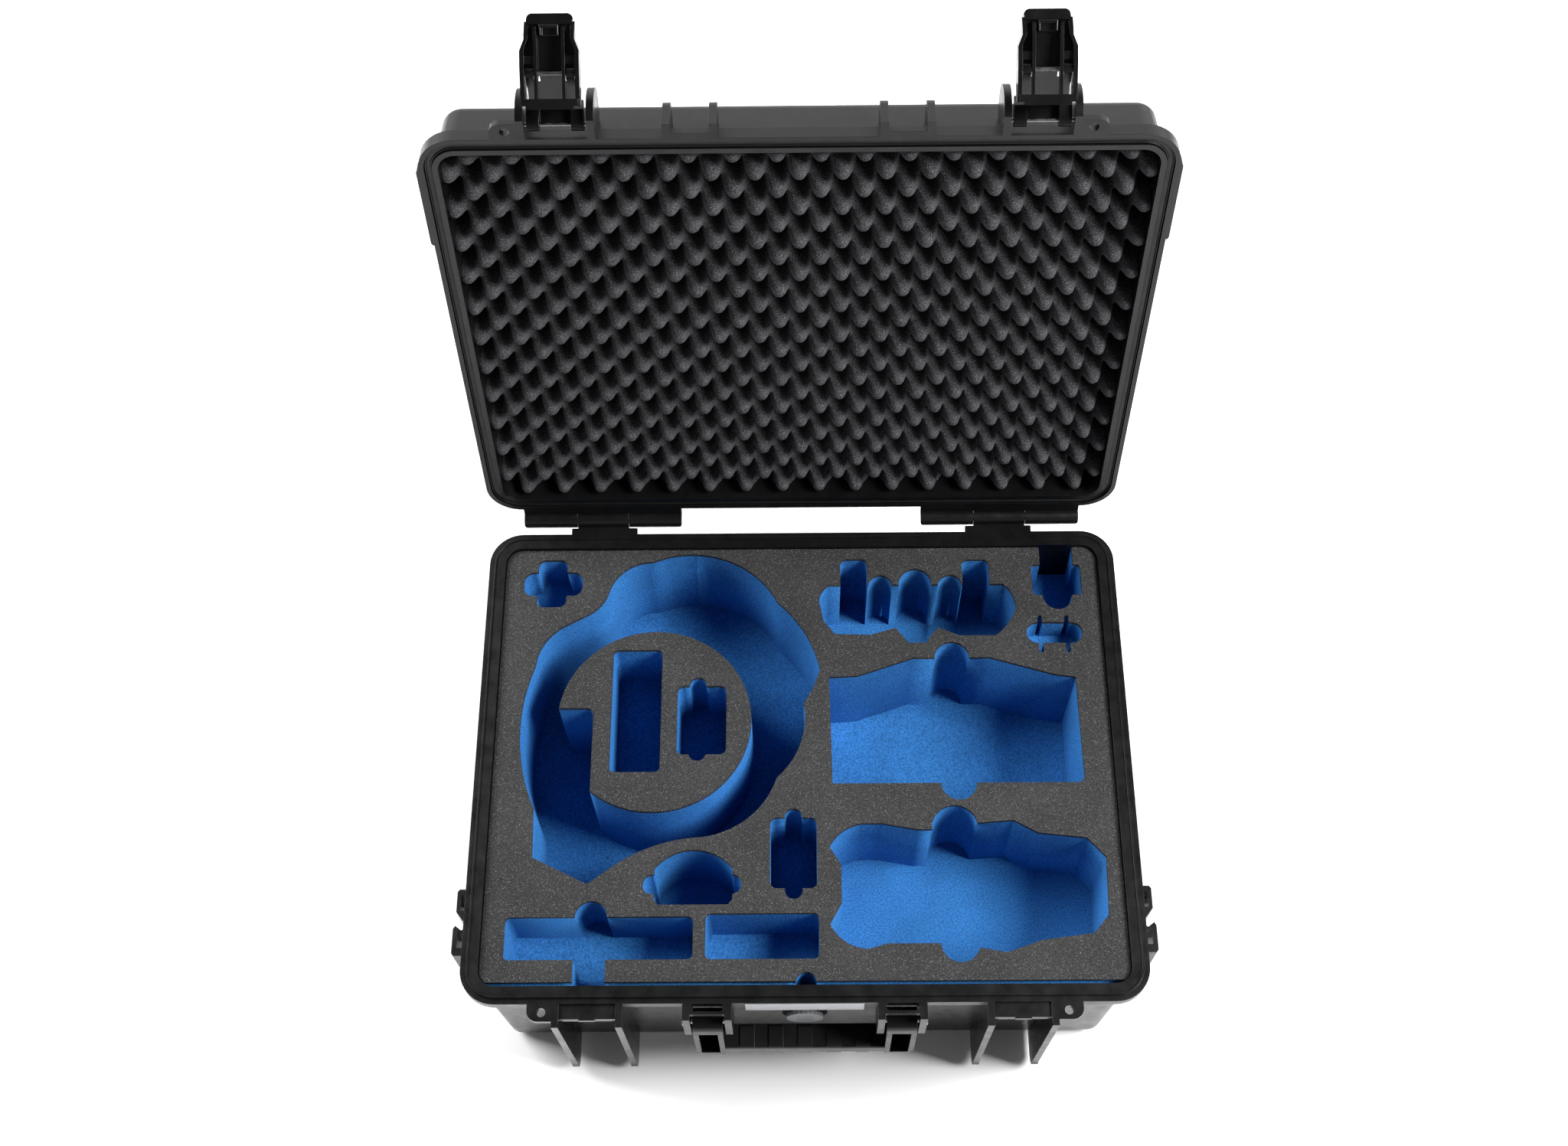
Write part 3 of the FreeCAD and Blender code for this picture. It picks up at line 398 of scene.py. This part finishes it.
# The grid's square corners are drawn in to the sheet's round ones
u = np.clip((np.abs(x) - (half_x - corner)) / corner, 0, 1)
v = np.clip((np.abs(y) - (half_y - corner)) / corner, 0, 1)
x = x - np.sign(x) * corner * (u - u * np.sqrt(1 - v * v / 2))
y = y - np.sign(y) * corner * (v - v * np.sqrt(1 - u * u / 2))
wave = np.cos(2 * math.pi * x / point_pitch) * np.cos(math.pi * y / row_pitch)
point = (0.5 + 0.5 * np.sin(wave * math.pi / 2)) ** 0.85
z = rim_height + tip_depth + point_height * (1 - point)
egg_crate.data.vertices.foreach_set("co", np.column_stack((x, y, z)).ravel())
egg_crate.data.attributes.new("stands", "FLOAT", "POINT").data.foreach_set("value", point)
bpy.ops.object.mode_set(mode="EDIT")
bpy.ops.mesh.select_all(action="SELECT")
bpy.ops.mesh.region_to_loop()
bpy.ops.mesh.extrude_region_move()
back_z = rim_height + back_depth
lean = (1 - lid_lean / half_x, 1 - lid_lean / half_y, 0)
bpy.ops.transform.resize(value=lean, center_override=(0, 0, back_z))
bpy.ops.mesh.edge_face_add()
bpy.ops.mesh.select_all(action="SELECT")
bpy.ops.mesh.normals_make_consistent(inside=False)
bpy.ops.object.mode_set(mode="OBJECT")
to_open = Matrix.Translation(hinge) @ Matrix.Rotation(open_angle, 4, "X") @ Matrix.Translation(-hinge)
egg_crate.data.transform(to_open)
bpy.ops.object.shade_smooth_by_angle(angle=math.radians(50))
coarse_cells = foam_cells("Coarse foam cells", 1700.0, 0.42, 0.7)
foam_grey, foam_glint = (0.046, 0.046, 0.0495, 1), (0.3, 0.3, 0.315, 1)
grey_foam = foam("Grey_egg_crate_foam", coarse_cells, foam_grey, foam_glint, 1.0)
# Painted shade: the colour of the cells is darkened in the hollows between the points, by how far each spot
# stands, and left full at the tips
tree = grey_foam.node_tree
shader = tree.nodes["Principled BSDF"]
cells_colour = shader.inputs["Base Color"].links[0].from_socket
stands = shader_node(tree, "Attribute", attribute_name="stands").outputs["Fac"]
shading = {0: cells_colour, "Scale": span(tree, stands, 0.1, 0.75, 0.1, 1.0)}
painted_hollow_shade = shader_node(tree, "VectorMath", shading, operation="SCALE").outputs[0]
tree.links.new(painted_hollow_shade, shader.inputs["Base Color"])
dress(egg_crate, grey_foam)
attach(egg_crate, "lid")
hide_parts("lid_foam")

# Pins
# Turned steel pins hold the hinges, the latches and the handle. Each is pressed into one of the two
# parts it joins and turns in the other.
steel, tree, shader = new_material("Turned_steel", Base_Color=(0.3, 0.3, 0.31, 1), Metallic=1.0)
place = shader_node(tree, "TexCoord").outputs["Object"]
smudge = shader_node(tree, "TexNoise", {"Vector": place, "Scale": 160.0, "Detail": 5.0}).outputs["Fac"]
tree.links.new(span(tree, smudge, 0.3, 0.7, 0.2, 0.42), shader.inputs["Roughness"])
for name, cad in nodes.items():
    if "pin" in name:
        dress(cad, steel)

# Latches
# Each latch is a link on the lid's ears and a lever on the link, with a small clip under its tab, all
# moulded in a harder and smoother black plastic than the shell's.
latch_black, latch_worn = (0.003, 0.003, 0.0031, 1), (0.007, 0.007, 0.0072, 1)
latch_plastic = moulded("Black_latch_plastic", latch_black, latch_worn, 0.22, 2400.0, 0.04)
for part in ("link", "lever", "clip"):
    for hand in ("right", "left"):
        dress(nodes["latch_" + part + "_" + hand], latch_plastic)
        soften(nodes["latch_" + part + "_" + hand], 0.0006)

# Handle
# Two channel arms swing on pins between the base's brackets and are joined by a bar. A soft ribbed
# grip is moulded round the bar.
handle_black, handle_worn = (0.0035, 0.0035, 0.0037, 1), (0.008, 0.008, 0.0083, 1)
handle_plastic = moulded("Black_handle_plastic", handle_black, handle_worn, 0.26, ior=1.28)
grip_black, grip_worn = (0.005, 0.005, 0.0052, 1), (0.011, 0.011, 0.0113, 1)
grip_rubber = moulded("Grip_rubber", grip_black, grip_worn, 0.34, 2000.0, 0.15)
dress(nodes["handle_frame"], handle_plastic)
soften(nodes["handle_frame"], 0.0006)
dress(nodes["handle_grip"], grip_rubber)
soften(nodes["handle_grip"], 0.0007)
